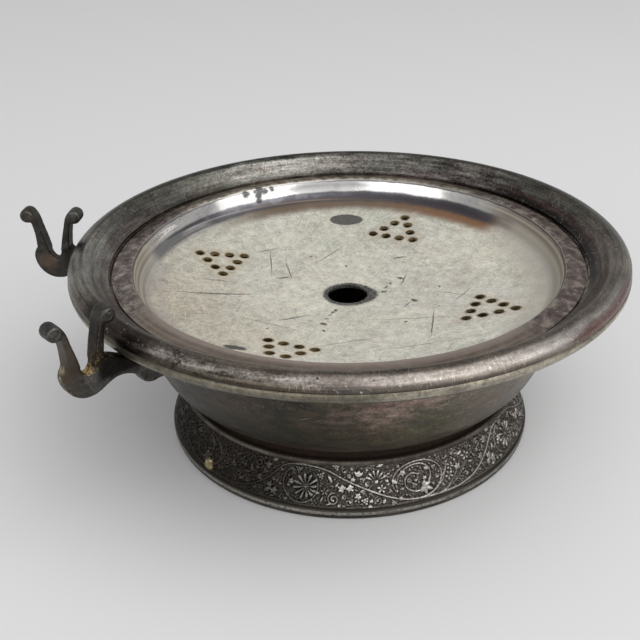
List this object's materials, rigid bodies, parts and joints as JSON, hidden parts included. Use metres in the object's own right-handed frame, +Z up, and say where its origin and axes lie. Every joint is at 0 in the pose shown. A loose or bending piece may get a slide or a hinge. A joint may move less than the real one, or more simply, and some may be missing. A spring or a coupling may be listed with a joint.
{
  "type": "butter dish base",
  "caption": "Round footed butter dish base: spun bowl with rolled rim, lift-out pierced drainer plate, ornamented foot and two knife rests at one side.",
  "frame": {"origin": "on the bowl's axis, at the plane the foot stands on", "axes": "+Z up along the bowl's axis; the pair of knife rests is centred on -X, the front rest towards -Y and the rear rest towards +Y"},
  "size_m": [0.1946, 0.184, 0.0766],
  "materials": {
    "bowl_plate": "tarnished silver plate, satin",
    "rim_plate": "tarnished silver plate, satin",
    "drainer_plate": "worn silver plate, finely scratched",
    "foot_patina": "dark oxidised relief with polished high points",
    "foot_wire": "tarnished silver plate",
    "rest_casting": "dark oxidised casting"
  },
  "bodies": {
    "dish": {"bowl": "bowl_plate", "rim_moulding": "rim_plate", "rim_edge_band": "rim_plate", "drainer_seat_ring": "bowl_plate", "foot_collar": "foot_patina", "foot_band": "foot_patina", "foot_edge_wire": "foot_wire", "front_knife_rest": "rest_casting", "rear_knife_rest": "rest_casting"},
    "drainer": {"drainer_plate": "drainer_plate"}
  },
  "joints": [
    {"name": "drainer_lift", "type": "slide", "parent": "dish", "child": "drainer", "axis": [0, 0, 1], "range_m": [0, 0.06]}
  ]
}
